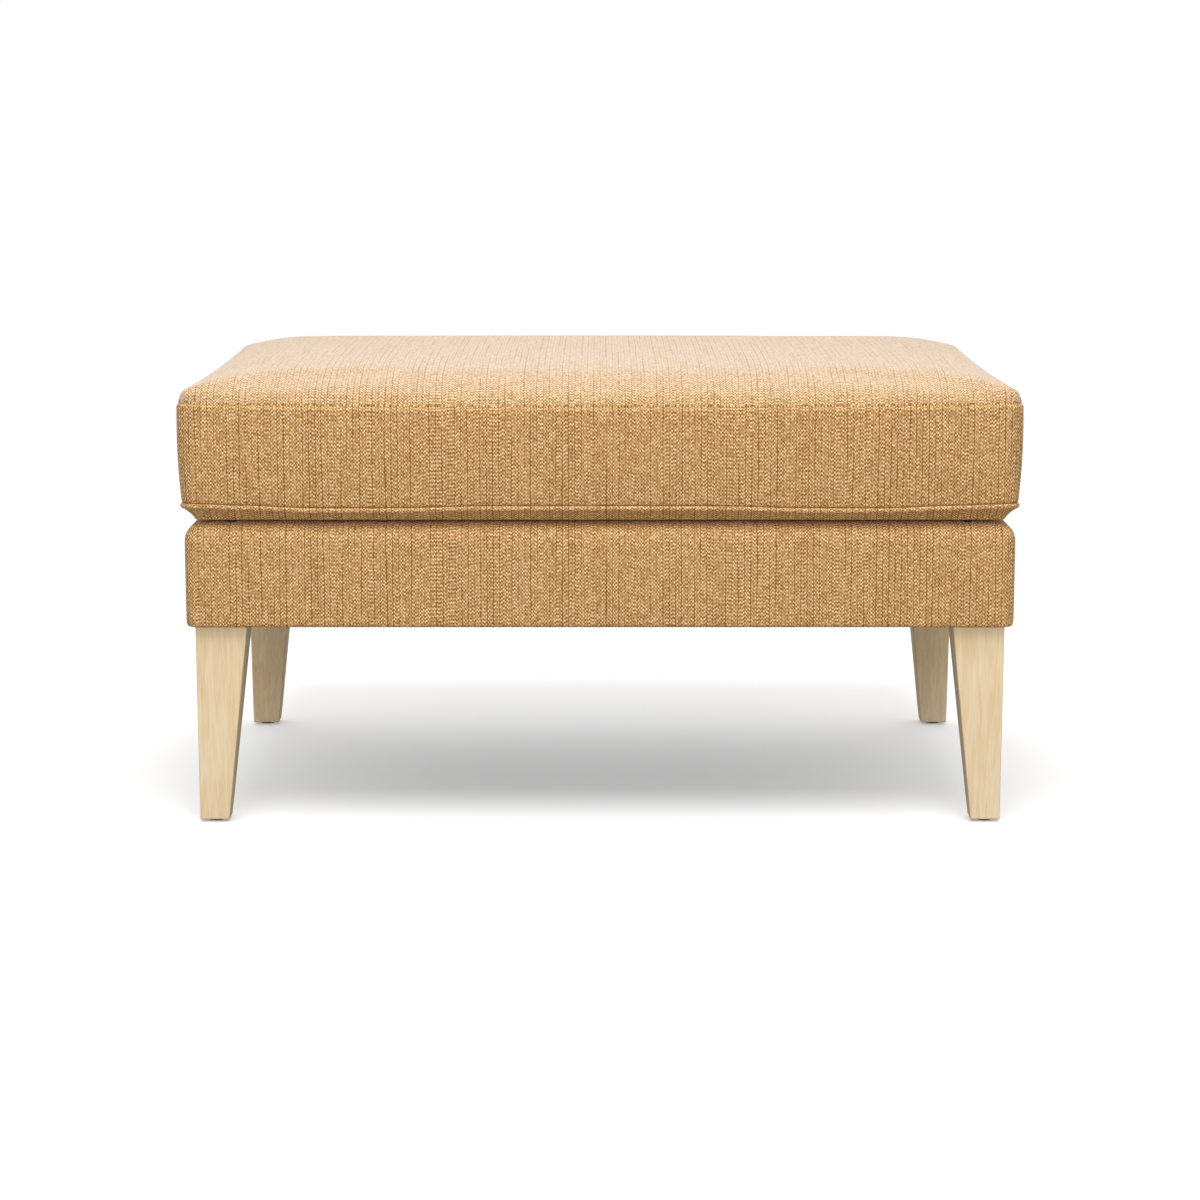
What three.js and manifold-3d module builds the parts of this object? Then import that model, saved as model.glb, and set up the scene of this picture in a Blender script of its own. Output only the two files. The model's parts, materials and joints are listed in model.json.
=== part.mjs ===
// Storage ottoman: upholstered box base on four tapered legs, hinged lid that carries a box cushion.
// Millimetres, +X right, +Y to the rear, +Z up, floor at z = 0.
import * as THREE from "three";
import { mergeVertices } from "three/addons/utils/BufferGeometryUtils.js";
import Module from "manifold-3d";

const wasm = await Module();
wasm.setup();

const GAP = 0.3; // clearance left between pieces that touch
const RUNNING = 0.08; // radial clearance of a pin in its bore
const CLOTH = 1.7; // upholstery fabric

// Cushion outline and heights
const CUSHION_W = 914;
const CUSHION_D = 608;
const CUSHION_R = 26;
const SEAM_TOP = 465;
const SEAM_BOTTOM = 348;
// Crown of the cushion cloth: distance in from the edge, height above the top seam
const CROWN = [
  [0.6, 0.2],
  [1.5, 5],
  [4, 11],
  [9, 16],
  [17, 20.5],
  [30, 25],
  [50, 29.5],
  [80, 33.5],
  [120, 37.5],
  [170, 41],
  [225, 43],
];

// Base outline and heights
const BASE_W = 902;
const BASE_D = 592;
const BASE_R = 14;
const BASE_BOTTOM = 218;
const RIM_TOP = 331;
const RAIL_INSET = 12;
const RAIL_T = 15;
const RAIL_TOP = 322;
const FLOOR_LOW = 220;
const FLOOR_T = 12;
const BLOCK_LEG = 70;
const NUT_SEAT = 262; // height of the seat that each T-nut is pulled down on
const LINING_T = 1.2;
const LINING_TOP = 326;

// Lid panel
const LID_LOW = 336.5;
const LID_T = 10;
const LID_INSET = 19;

// Legs
const LEG_INSET = 11;
const LEG_TOP_W = 55;
const LEG_LOW_W = 30.6;
const LEG_LEAN = 1;
const LEG_FOOT = 3;
const LEG_TOP = BASE_BOTTOM - GAP;
const BOLT_R = 4;
const BOLT_LOW = 158;
const BOLT_TOP = 262;

// Hinges
const HINGE_X = 250;
const HINGE_L = 70;
const AXIS_Y = 292.5;
const AXIS_Z = 332;
const BARREL_R = 5.5;
const PIN_R = 2.3;
const LEAF_T = 1.5;
const LEAF_IN = 270.5;
const LEAF_OUT = 286;
const BASE_LEAF_LOW = 331.3;
const LID_LEAF_LOW = 333.4;
const KNUCKLE = 15;
const SCREW_Y = 276.5;
const SCREW_DX = 24;

const material = (color, roughness, metalness = 0) =>
  new THREE.MeshStandardMaterial({ color, roughness, metalness });
const fabric = material(0xc69a68, 0.95);
const liningCloth = material(0x8c8174, 0.95);
const dustCloth = material(0x2b2a29, 0.95);
const foam = material(0xe9dfc4, 0.9);
const wadding = material(0xf2f1ec, 0.95);
const pine = material(0xd9b98a, 0.7);
const plywood = material(0xcfae80, 0.7);
const maple = material(0xe9d2ac, 0.45);
const steel = material(0xa9abad, 0.35, 0.9);
const nylon = material(0x6b6259, 0.6);
const rubber = material(0x242322, 0.85);

const root = new THREE.Group();

function place(name, geometry, mat) {
  const mesh = new THREE.Mesh(geometry, mat);
  mesh.name = name;
  root.add(mesh);
  return mesh;
}

function solid(geometry) {
  const g = geometry.clone();
  g.deleteAttribute("normal");
  g.deleteAttribute("uv");
  const merged = mergeVertices(g, 1e-4);
  return new wasm.Manifold(
    new wasm.Mesh({
      numProp: 3,
      vertProperties: new Float32Array(merged.attributes.position.array),
      triVerts: new Uint32Array(merged.index.array),
    }),
  );
}

function geometryOf(body) {
  const mesh = body.getMesh();
  const g = new THREE.BufferGeometry();
  const at = new Float32Array(mesh.numVert * 3);
  for (let i = 0; i < mesh.numVert; i++) {
    at.set(mesh.vertProperties.subarray(i * mesh.numProp, i * mesh.numProp + 3), i * 3);
  }
  g.setAttribute("position", new THREE.BufferAttribute(at, 3));
  g.setIndex(new THREE.BufferAttribute(new Uint32Array(mesh.triVerts), 1));
  g.computeVertexNormals();
  return g;
}

const cut = (geometry, cutters) =>
  geometryOf(cutters.reduce((body, c) => body.subtract(solid(c)), solid(geometry)));
const join = (geometries) =>
  geometryOf(geometries.slice(1).reduce((body, g) => body.add(solid(g)), solid(geometries[0])));

// Box from its low corner to its high corner
function block(x0, x1, y0, y1, z0, z1) {
  const g = new THREE.BoxGeometry(x1 - x0, y1 - y0, z1 - z0);
  return g.translate((x0 + x1) / 2, (y0 + y1) / 2, (z0 + z1) / 2);
}

// Outline with rounded corners, counter-clockwise from above
function ring(halfX, halfY, radius, z, steps = 5, cx = 0, cy = 0) {
  const points = [];
  const r = Math.max(radius, 0.4);
  for (let corner = 0; corner < 4; corner++) {
    const sx = corner === 0 || corner === 3 ? 1 : -1;
    const sy = corner < 2 ? 1 : -1;
    for (let i = 0; i <= steps; i++) {
      const a = ((corner + i / steps) * Math.PI) / 2;
      const x = cx + sx * (halfX - r) + r * Math.cos(a);
      const y = cy + sy * (halfY - r) + r * Math.sin(a);
      points.push([x, y, z]);
    }
  }
  return points;
}

// Surface through rings of equal count; material lies to the left of the path taken in section
function loft(rings, closed = false) {
  const n = rings[0].length;
  const at = rings.flat(2);
  const faces = [];
  const last = closed ? rings.length : rings.length - 1;
  for (let i = 0; i < last; i++) {
    const a = i * n;
    const b = ((i + 1) % rings.length) * n;
    for (let j = 0; j < n; j++) {
      const k = (j + 1) % n;
      faces.push(a + j, a + k, b + k, a + j, b + k, b + j);
    }
  }
  if (!closed) {
    const top = (rings.length - 1) * n;
    for (let j = 1; j < n - 1; j++) {
      faces.push(0, j + 1, j);
      faces.push(top, top + j, top + j + 1);
    }
  }
  const g = new THREE.BufferGeometry();
  g.setAttribute("position", new THREE.BufferAttribute(new Float32Array(at), 3));
  g.setIndex(faces);
  g.computeVertexNormals();
  return g;
}

// Rings of a rounded rectangle for a list of [inset, z]; corners sharpen towards the inside
const rings = (w, d, r, path) =>
  path.map(([inset, z]) => ring(w / 2 - inset, d / 2 - inset, r - 1.6 * inset, z));

// Path moved to its left, away from the outer face of a cloth
function offset(path, t) {
  return path.map((p, i) => {
    const a = path[Math.max(i - 1, 0)];
    const b = path[Math.min(i + 1, path.length - 1)];
    const du = -(b[0] - a[0]);
    const dz = b[1] - a[1];
    const len = Math.hypot(du, dz);
    return [p[0] + (t * dz) / len, p[1] + (t * du) / len];
  });
}

const cloth = (path, t) => [...path, ...offset(path, t).reverse()];

// Turned solid about a vertical line; profile is a list of [radius, z]
function turned(profile, x = 0, y = 0, segments = 20) {
  const points = profile.map(([r, z]) => new THREE.Vector2(r, z));
  const g = new THREE.LatheGeometry(points, segments);
  return g.rotateX(Math.PI / 2).translate(x, y, 0);
}

const rod = (r, z0, z1, x, y, segments = 16) =>
  turned([[0, z0], [r, z0], [r, z1], [0, z1]], x, y, segments);

// Cylinder along X
function tube(r, x0, x1, y, z, segments = 24) {
  const g = new THREE.CylinderGeometry(r, r, x1 - x0, segments);
  return g.rotateZ(-Math.PI / 2).translate((x0 + x1) / 2, y, z);
}

const CORNERS = [
  ["front_left", -1, -1],
  ["front_right", 1, -1],
  ["rear_right", 1, 1],
  ["rear_left", -1, 1],
];
const HINGES = [
  ["left", -HINGE_X],
  ["right", HINGE_X],
];
const legTopX = BASE_W / 2 - LEG_INSET - LEG_TOP_W / 2;
const legTopY = BASE_D / 2 - LEG_INSET - LEG_TOP_W / 2;

// Countersunk screw with its point down; up = false turns it to point up
const SCREW = [[0, -30], [1.5, -26], [1.7, -3], [3.4, -0.6], [3.4, -0.1], [0, -0.1]];
const SCREW_HOLE = [[0, -31], [2, -27], [2, -2.9], [3.9, -0.5], [3.9, 0.6], [0, 0.6]];

function screw(profile, x, y, z, up) {
  const g = turned(profile, 0, 0, 14);
  if (!up) g.rotateX(Math.PI);
  return g.translate(x, y, z);
}

const baseScrews = [];
const lidScrews = [];
for (const [side, x] of HINGES) {
  for (const [tag, dx] of [["a", -SCREW_DX], ["b", SCREW_DX]]) {
    baseScrews.push([`hinge_${side}_base_screw_${tag}`, x + dx, SCREW_Y, BASE_LEAF_LOW + LEAF_T, true]);
    lidScrews.push([`hinge_${side}_lid_screw_${tag}`, x + dx, SCREW_Y, LID_LEAF_LOW, false]);
  }
}
// A lid screw is short, so its point stays inside the panel
const LID_SCREW = [[0, -11], [1.5, -8.5], [1.7, -3], [3.4, -0.6], [3.4, -0.1], [0, -0.1]];
const LID_SCREW_HOLE = [[0, -12], [2, -9], [2, -2.9], [3.9, -0.5], [3.9, 0.6], [0, 0.6]];
const baseHoles = () => baseScrews.map(([, x, y, z, up]) => screw(SCREW_HOLE, x, y, z, up));
const lidHoles = () => lidScrews.map(([, x, y, z, up]) => screw(LID_SCREW_HOLE, x, y, z, up));

function legs() {
  for (const [corner, sx, sy] of CORNERS) {
    const low = LEG_LOW_W / 2;
    const lowX = sx * (BASE_W / 2 - LEG_INSET - LEG_LEAN - low);
    const lowY = sy * (BASE_D / 2 - LEG_INSET - LEG_LEAN - low);
    const body = loft([
      ring(low - 0.8, low - 0.8, 2.2, LEG_FOOT, 3, lowX, lowY),
      ring(low, low, 3, LEG_FOOT + 0.8, 3, lowX, lowY),
      ring(LEG_TOP_W / 2, LEG_TOP_W / 2, 3, LEG_TOP, 3, sx * legTopX, sy * legTopY),
    ]);
    const boltHole = rod(BOLT_R + GAP, BOLT_LOW - 2, LEG_TOP + 1, sx * legTopX, sy * legTopY);
    const nailHole = rod(1.5, LEG_FOOT - 1, 16, lowX, lowY, 12);
    place(`leg_${corner}`, cut(body, [boltHole, nailHole]), maple);
    const glide = [[0, 0], [9, 0], [11, 1.2], [11, 2.7], [1.2, 2.7], [1.2, 12], [0, 15]];
    place(`glide_${corner}`, turned(glide, lowX, lowY), nylon);
    const bolt = [[0, BOLT_LOW], [BOLT_R, BOLT_LOW + 3], [BOLT_R, BOLT_TOP - 1], [BOLT_R - 1, BOLT_TOP], [0, BOLT_TOP]];
    place(`hanger_bolt_${corner}`, turned(bolt, sx * legTopX, sy * legTopY, 16), steel);
  }
}

function frame() {
  const halfX = BASE_W / 2 - RAIL_INSET;
  const halfY = BASE_D / 2 - RAIL_INSET;
  const low = FLOOR_LOW + FLOOR_T + GAP;
  const rebate = RAIL_T / 2;
  const panel = block(-halfX, halfX, -halfY, halfY, FLOOR_LOW, FLOOR_LOW + FLOOR_T);
  const boltHoles = (r, z0, z1) =>
    CORNERS.map(([, sx, sy]) => rod(r, z0, z1, sx * legTopX, sy * legTopY));
  place("bottom_panel", cut(panel, boltHoles(BOLT_R + GAP, FLOOR_LOW - 1, FLOOR_LOW + FLOOR_T + 1)), plywood);

  for (const [side, sy] of [["front", -1], ["rear", 1]]) {
    const inner = sy * (halfY - RAIL_T);
    const outer = sy * halfY;
    const rail = block(-halfX, halfX, Math.min(inner, outer), Math.max(inner, outer), low, RAIL_TOP);
    const step = inner + sy * rebate;
    const y0 = Math.min(inner - sy, step);
    const y1 = Math.max(inner - sy, step);
    const cuts = [-1, 1].map((sx) => {
      const x0 = sx * (halfX - RAIL_T);
      const x1 = sx * (halfX + 1);
      return block(Math.min(x0, x1), Math.max(x0, x1), y0, y1, low - 1, RAIL_TOP + 1);
    });
    if (sy > 0) cuts.push(...baseHoles());
    place(`${side}_rail`, cut(rail, cuts), pine);
  }
  const end = halfY - RAIL_T + rebate - GAP;
  for (const [side, sx] of [["left", -1], ["right", 1]]) {
    const x0 = sx * (halfX - RAIL_T + GAP);
    const x1 = sx * halfX;
    place(`${side}_rail`, block(Math.min(x0, x1), Math.max(x0, x1), -end, end, low, RAIL_TOP), pine);
  }
}

function cornerBlocks() {
  const x0 = BASE_W / 2 - RAIL_INSET - RAIL_T;
  const y0 = BASE_D / 2 - RAIL_INSET - RAIL_T - GAP;
  const low = FLOOR_LOW + FLOOR_T + GAP;
  for (const [corner, sx, sy] of CORNERS) {
    const shape = new THREE.Shape();
    const at = [[x0, y0], [x0 - BLOCK_LEG, y0], [x0 - BLOCK_LEG, y0 - 4], [x0 - 4, y0 - BLOCK_LEG], [x0, y0 - BLOCK_LEG]];
    const outline = at.map(([x, y]) => new THREE.Vector2(sx * x, sy * y));
    shape.setFromPoints(outline);
    const body = new THREE.ExtrudeGeometry(shape, { depth: RAIL_TOP - low, bevelEnabled: false, steps: 1 });
    body.translate(0, 0, low);
    const bore = [
      [0, low - 1],
      [BOLT_R + GAP, low - 1],
      [BOLT_R + GAP, NUT_SEAT - 11],
      [5.5, NUT_SEAT - 11],
      [5.5, NUT_SEAT],
      [9.5, NUT_SEAT],
      [9.5, RAIL_TOP + 1],
      [0, RAIL_TOP + 1],
    ];
    place(`corner_block_${corner}`, cut(body, [turned(bore, sx * legTopX, sy * legTopY)]), pine);
    const nut = [
      [BOLT_R + GAP, NUT_SEAT - 10],
      [5.2, NUT_SEAT - 10],
      [5.2, NUT_SEAT + GAP],
      [9, NUT_SEAT + GAP],
      [9, NUT_SEAT + GAP + 1.5],
      [BOLT_R + GAP, NUT_SEAT + GAP + 1.5],
      [BOLT_R + GAP, NUT_SEAT - 10],
    ];
    place(`t_nut_${corner}`, turned(nut, sx * legTopX, sy * legTopY), steel);
  }
}

// Outer face of the base cloth from under the floor, up the side, over the rim and down inside
const BASE_PATH = [
  [32, BASE_BOTTOM],
  [4, BASE_BOTTOM],
  [1.2, BASE_BOTTOM + 1.2],
  [0, BASE_BOTTOM + 5],
  [0, 300],
  [1, 309],
  [4, 318],
  [9, 326],
  [13, 329.4],
  [17, RIM_TOP],
  [25, RIM_TOP],
  [28, 330],
  [29, 327],
  [29, 322.6],
];

function baseUpholstery() {
  const skin = loft(rings(BASE_W, BASE_D, BASE_R, cloth(BASE_PATH, CLOTH)), true);
  place("base_cover", cut(skin, baseHoles()), fabric);

  const outer = offset(BASE_PATH.slice(3, 11), CLOTH + GAP);
  outer[0] = [outer[0][0], FLOOR_LOW + 4];
  const inner = RAIL_INSET - GAP;
  const path = [...outer, [25.6, RAIL_TOP + GAP], [inner, RAIL_TOP + GAP], [inner, FLOOR_LOW + 4]];
  path[outer.length - 1] = [25.6, outer[outer.length - 1][1]];
  const pad = solid(loft(rings(BASE_W, BASE_D, BASE_R, path), true));
  const end = BASE_D / 2 - 26;
  const reach = BASE_W;
  const strips = [
    ["front", block(-reach, reach, -reach, -end - GAP, 0, RIM_TOP)],
    ["rear", block(-reach, reach, end + GAP, reach, 0, RIM_TOP)],
    ["left", block(-reach, 0, -end, end, 0, RIM_TOP)],
    ["right", block(0, reach, -end, end, 0, RIM_TOP)],
  ];
  for (const [side, part] of strips) {
    const strip = geometryOf(pad.intersect(solid(part)));
    place(`base_padding_${side}`, side === "rear" ? cut(strip, baseHoles()) : strip, foam);
  }
}

// Rectangle with its corners cut straight across
function chamfered(halfX, halfY, leg, z) {
  const points = [];
  for (const [sx, sy, first] of [[1, 1, 0], [-1, 1, 1], [-1, -1, 0], [1, -1, 1]]) {
    const along = [sx * (halfX - leg), sy * halfY, z];
    const up = [sx * halfX, sy * (halfY - leg), z];
    points.push(...(first ? [along, up] : [up, along]));
  }
  return points;
}

function lining() {
  const halfX = BASE_W / 2 - 29 - GAP;
  const halfY = BASE_D / 2 - 29 - GAP;
  const low = FLOOR_LOW + FLOOR_T + GAP;
  const leg = BLOCK_LEG + 2;
  const inLeg = leg - LINING_T * (2 - Math.SQRT2);
  const shell = loft([
    chamfered(halfX, halfY, leg, low),
    chamfered(halfX, halfY, leg, LINING_TOP),
    chamfered(halfX - LINING_T, halfY - LINING_T, inLeg, LINING_TOP),
    chamfered(halfX - LINING_T, halfY - LINING_T, inLeg, low + LINING_T),
  ]);
  place("well_lining", shell, liningCloth);
}

function dustCover() {
  const halfX = BASE_W / 2 - 20;
  const halfY = BASE_D / 2 - 20;
  const notch = 62;
  const sheet = block(-halfX, halfX, -halfY, halfY, BASE_BOTTOM - GAP - 0.8, BASE_BOTTOM - GAP);
  const cuts = CORNERS.map(([, sx, sy]) => {
    const x = [sx * (halfX - notch), sx * (halfX + 1)].sort((a, b) => a - b);
    const y = [sy * (halfY - notch), sy * (halfY + 1)].sort((a, b) => a - b);
    return block(x[0], x[1], y[0], y[1], BASE_BOTTOM - 3, BASE_BOTTOM + 1);
  });
  place("dust_cover", cut(sheet, cuts), dustCloth);
}

function bumpers() {
  const x = BASE_W / 2 - 21;
  const y = BASE_D / 2 - 21;
  const low = RIM_TOP + GAP;
  const shape = [[0, low], [4.5, low], [4.5, low + 2.6], [3.4, low + 3.6], [0, low + 3.6]];
  place("bumper_front_left", turned(shape, -x + 30, -y), rubber);
  place("bumper_front_right", turned(shape, x - 30, -y), rubber);
  place("bumper_side_left", turned(shape, -x, 60), rubber);
  place("bumper_side_right", turned(shape, x, 60), rubber);
}

const crownPath = () => CROWN.map(([inset, up]) => [inset, SEAM_TOP + up]);
const BOXING_PATH = [
  [3.6, SEAM_BOTTOM + 0.2],
  [2.6, 360],
  [1, 385],
  [0, 420],
  [0, 445],
  [0.6, SEAM_TOP - 0.2],
];
const UNDER_PATH = [
  [50, 335.2],
  [19.5, 335.2],
  [17.4, 336.2],
  [4.2, SEAM_BOTTOM - 0.6],
];
// Foam block from the lid panel up its side and over its top
const FOAM_PATH = [
  [14.8, LID_LOW + LID_T + GAP],
  [13.4, 360],
  [11.6, 385],
  [10.6, 420],
  [10.6, 445],
  [11.4, 458],
  [14, 467],
  [19, 472.5],
  [30, 478.2],
  [50, 483.2],
  [80, 487.5],
  [120, 491.6],
  [170, 495.2],
  [225, 497.2],
];

function cushion() {
  const make = (path) => rings(CUSHION_W, CUSHION_D, CUSHION_R, path);
  const crown = crownPath();
  place("cushion_top_panel", loft(make([...offset(crown, CLOTH).reverse(), ...crown])), fabric);
  place("cushion_boxing", loft(make(cloth(BOXING_PATH, CLOTH)), true), fabric);
  const under = loft(make(cloth(UNDER_PATH, 1)), true);
  place("cushion_under_strip", cut(under, lidHoles()), fabric);

  // Wadding lies inside the cloth, foam inside the wadding; both stand on the lid panel
  const side = BOXING_PATH.slice(1, 5);
  const outside = offset([[4.4, 352], ...side, ...crown.slice(2)], CLOTH + GAP);
  outside[0] = [outside[0][0], FOAM_PATH[0][1] + 3];
  const inside = offset(FOAM_PATH, -GAP);
  inside[0] = [inside[0][0] - 0.4, FOAM_PATH[0][1] + 3];
  place("cushion_wadding", loft(make([...inside.slice().reverse(), ...outside])), wadding);
  place("cushion_foam", loft(make(FOAM_PATH)), foam);
}

function lid() {
  const halfX = CUSHION_W / 2 - LID_INSET;
  const halfY = CUSHION_D / 2 - LID_INSET;
  const panel = loft([
    ring(halfX, halfY, 10, LID_LOW, 4),
    ring(halfX, halfY, 10, LID_LOW + LID_T, 4),
  ]);
  place("lid_panel", cut(panel, lidHoles()), plywood);
  const inX = halfX - 26;
  const inY = halfY - 26;
  place("lid_lining", block(-inX, inX, -inY, inY, 334, 334.9), liningCloth);
}

function hinges() {
  const half = HINGE_L / 2;
  for (const [side, x] of HINGES) {
    const bore = tube(PIN_R + RUNNING, x - half - 1, x + half + 1, AXIS_Y, AXIS_Z);
    const baseTop = BASE_LEAF_LOW + LEAF_T;
    const lidTop = LID_LEAF_LOW + LEAF_T;
    const baseLeaf = [
      block(x - half, x + half, LEAF_IN, LEAF_OUT, BASE_LEAF_LOW, baseTop),
      ...[-1, 1].flatMap((s) => {
        const a = Math.min(x + s * KNUCKLE, x + s * half);
        const b = Math.max(x + s * KNUCKLE, x + s * half);
        return [block(a, b, LEAF_OUT - 1, AXIS_Y, BASE_LEAF_LOW, baseTop), tube(BARREL_R, a, b, AXIS_Y, AXIS_Z)];
      }),
    ];
    place(`hinge_${side}_base_leaf`, cut(join(baseLeaf), [bore, ...baseHoles()]), steel);
    const near = KNUCKLE - GAP;
    const lidLeaf = [
      block(x - half, x + half, LEAF_IN, LEAF_OUT, LID_LEAF_LOW, lidTop),
      block(x - near, x + near, LEAF_OUT - 1, AXIS_Y, LID_LEAF_LOW, lidTop),
      tube(BARREL_R, x - near, x + near, AXIS_Y, AXIS_Z),
    ];
    place(`hinge_${side}_lid_leaf`, cut(join(lidLeaf), [bore, ...lidHoles()]), steel);
    place(`hinge_${side}_pin`, tube(PIN_R, x - half + 0.5, x + half - 0.5, AXIS_Y, AXIS_Z, 20), steel);
  }
  for (const [name, x, y, z, up] of baseScrews) place(name, screw(SCREW, x, y, z, up), steel);
  for (const [name, x, y, z, up] of lidScrews) place(name, screw(LID_SCREW, x, y, z, up), steel);
}

legs();
frame();
cornerBlocks();
baseUpholstery();
lining();
dustCover();
bumpers();
lid();
cushion();
hinges();

export default root;
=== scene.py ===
"""Storage ottoman: upholstery, legs, lining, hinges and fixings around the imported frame."""
import json
import math

import bpy
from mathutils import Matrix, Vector, noise


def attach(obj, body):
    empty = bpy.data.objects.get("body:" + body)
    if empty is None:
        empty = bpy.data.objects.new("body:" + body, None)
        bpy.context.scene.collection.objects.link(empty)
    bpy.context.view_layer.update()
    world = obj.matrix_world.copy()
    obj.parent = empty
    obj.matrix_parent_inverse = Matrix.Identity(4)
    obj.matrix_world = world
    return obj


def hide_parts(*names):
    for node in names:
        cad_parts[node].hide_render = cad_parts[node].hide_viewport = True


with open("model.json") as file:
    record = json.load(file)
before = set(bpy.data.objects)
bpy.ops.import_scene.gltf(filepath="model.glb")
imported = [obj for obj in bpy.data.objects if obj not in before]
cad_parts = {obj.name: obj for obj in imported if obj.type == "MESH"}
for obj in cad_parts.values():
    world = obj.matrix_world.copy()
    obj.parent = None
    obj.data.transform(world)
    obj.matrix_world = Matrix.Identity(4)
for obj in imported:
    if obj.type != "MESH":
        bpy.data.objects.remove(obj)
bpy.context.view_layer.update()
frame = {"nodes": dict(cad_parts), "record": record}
MM = 0.001

# ---------------------------------------------------------------- sizes, in millimetres
# An outline is w by d with corner radius r, 2 * corner steps round each corner and a point about every step.
CUSHION = dict(w=914, d=608, r=22, corner=6, step=12)
BASE = dict(w=902, d=592, r=14, corner=4, step=24)

# Heights of the boxing's two seams. The top one rises by CORNER_LIFT at a corner, fading over CORNER_REACH.
SEAM_TOP = 458.5
SEAM_BOTTOM = 347.0
CORNER_LIFT = 4.5
CORNER_REACH = 110.0
# (share of the way from the middle of a side to its end, height) of the bottom seam's slow wave
SEAM_WAVE = [(0, 0.7), (0.26, 0.6), (0.5, -1.6), (0.66, -1.7), (0.85, 1.2), (0.95, 2.8), (1, 3.0)]

# The top panel rises by CROWN_EDGE over its seam and by CROWN_MIDDLE more in the middle. SWELL is the most
# that the stuffing moves any point.
CROWN_EDGE = 36.5
CROWN_MIDDLE = 2.5
CROWN_REACH = 26.0
CROWN_POWER = 0.7
CROWN_CORNER = 3
SWELL = 2.5
LID_UNDERSIDE = 336.2

# Offsets that set the cloth of the top and the underside apart from the cloth of the sides
TOP_UV = 2000.0
UNDER_UV = 4000.0

# The legs stand LEG_INSET inside the base, lean out by LEG_LEAN and taper from LEG_TOP_W to LEG_LOW_W, over
# LEG_TALL from LEG_FOOT up.
LEG_INSET = 10.0
LEG_TOP_W = 56.4
LEG_LOW_W = 32.2
LEG_LEAN = 1.0
LEG_FOOT = 3
LEG_TALL = 214.7
LEG_EDGE = 1.6
LEG_CORNER_STEPS = 6


# ---------------------------------------------------------------- outlines and lofts
def arc_lengths(ring):
    """Lengths from a closed ring's first point to each of the others and back to itself."""
    arc = [0.0]
    for a, b in zip(ring, ring[1:] + ring[:1]):
        arc.append(arc[-1] + math.dist(a, b))
    return arc


class Outline:
    """Rounded rectangle seen from above, counter-clockwise from the middle of the rear side."""

    def __init__(self, w, d, r, corner, step):
        self.hx, self.hy, self.r, self.corner = w / 2, d / 2, r, corner
        self.nx = 2 * round((w - 2 * r) / step / 2)
        self.ny = 2 * round((d - 2 * r) / step / 2)
        self.spots = self._spots()
        ring = self.ring(0)
        self.n = len(ring)
        arc = arc_lengths(ring)
        self.arc = [s - arc[-1] / 2 for s in arc]

    def _spots(self):
        """Each point as (kind, signs or sign, share along its side or angle)."""
        nx, ny, turn = self.nx, self.ny, 2 * self.corner

        def side(kind, sign, count, way):
            return [(kind, sign, way * (2 * i / count - 1)) for i in range(count + 1)]

        def corner(signs, start):
            return [("c", signs, start + 90 * i / turn) for i in range(1, turn)]

        rear = side("y", 1, nx, -1)
        spots = rear[nx // 2:] + corner((-1, 1), 90) + side("x", -1, ny, -1) + corner((-1, -1), 180)
        spots += side("y", -1, nx, 1) + corner((1, -1), 270) + side("x", 1, ny, 1) + corner((1, 1), 0)
        return spots + rear[:nx // 2]

    def ring(self, inset):
        r = max(self.r - inset, 1.0)
        hx, hy = self.hx - inset, self.hy - inset
        points = []
        for kind, side, t in self.spots:
            if kind == "y":
                points.append((t * (hx - r), side * hy))
            elif kind == "x":
                points.append((side * hx, t * (hy - r)))
            else:
                a = math.radians(t)
                x, y = side[0] * (hx - r), side[1] * (hy - r)
                points.append((x + r * math.cos(a), y + r * math.sin(a)))
        return points


def lerp_table(table, x):
    """Smooth steps between the rows of a table of (x, value)."""
    if x <= table[0][0]:
        return table[0][1]
    for (x0, v0), (x1, v1) in zip(table, table[1:]):
        if x <= x1:
            t = (x - x0) / (x1 - x0)
            t = t * t * (3 - 2 * t)
            return v0 + (v1 - v0) * t
    return table[-1][1]


def quads_between(a, b, n):
    """Faces that join two closed rings of n vertices starting at a and b."""
    return [(a + j, a + (j + 1) % n, b + (j + 1) % n, b + j) for j in range(n)]


def quad_uvs(arc, low, high):
    """UVs of the faces of quads_between, from the lengths round the ring and the lengths up the cloth."""
    return [uv for a, b in zip(arc, arc[1:]) for uv in ((a, low), (b, low), (b, high), (a, high))]


def link_object(name, data):
    obj = bpy.data.objects.new(name, data)
    bpy.context.scene.collection.objects.link(obj)
    return obj


def add_object(name, verts, faces, uvs=None):
    """A mesh object from millimetres, with one UV pair for each face corner.

    It gets two empty material slots, because a baked modifier keeps a face's slot only if there is one.
    """
    mesh = bpy.data.meshes.new(name)
    mesh.from_pydata([(x * MM, y * MM, z * MM) for x, y, z in verts], [], faces)
    if uvs:
        layer = mesh.uv_layers.new(name="cloth")
        for loop, (u, v) in zip(layer.data, uvs):
            loop.uv = (u * MM, v * MM)
    mesh.validate()
    for _ in range(2):
        mesh.materials.append(None)
    for p in mesh.polygons:
        p.use_smooth = True
    return link_object(name, mesh)


def apply_modifiers(obj):
    """Bake what the modifiers make into the mesh and drop them."""
    graph = bpy.context.evaluated_depsgraph_get()
    graph.update()
    made = bpy.data.meshes.new_from_object(obj.evaluated_get(graph), depsgraph=graph)
    obj.modifiers.clear()
    old = obj.data
    obj.data = made
    bpy.data.meshes.remove(old)
    return obj


def subdivided(obj):
    mod = obj.modifiers.new("Subdivision", "SUBSURF")
    mod.levels = mod.render_levels = 1
    return apply_modifiers(obj)


def thickened(obj, thickness, offset):
    mod = obj.modifiers.new("Thickness", "SOLIDIFY")
    mod.thickness = thickness * MM
    mod.offset = offset
    return apply_modifiers(obj)


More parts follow.
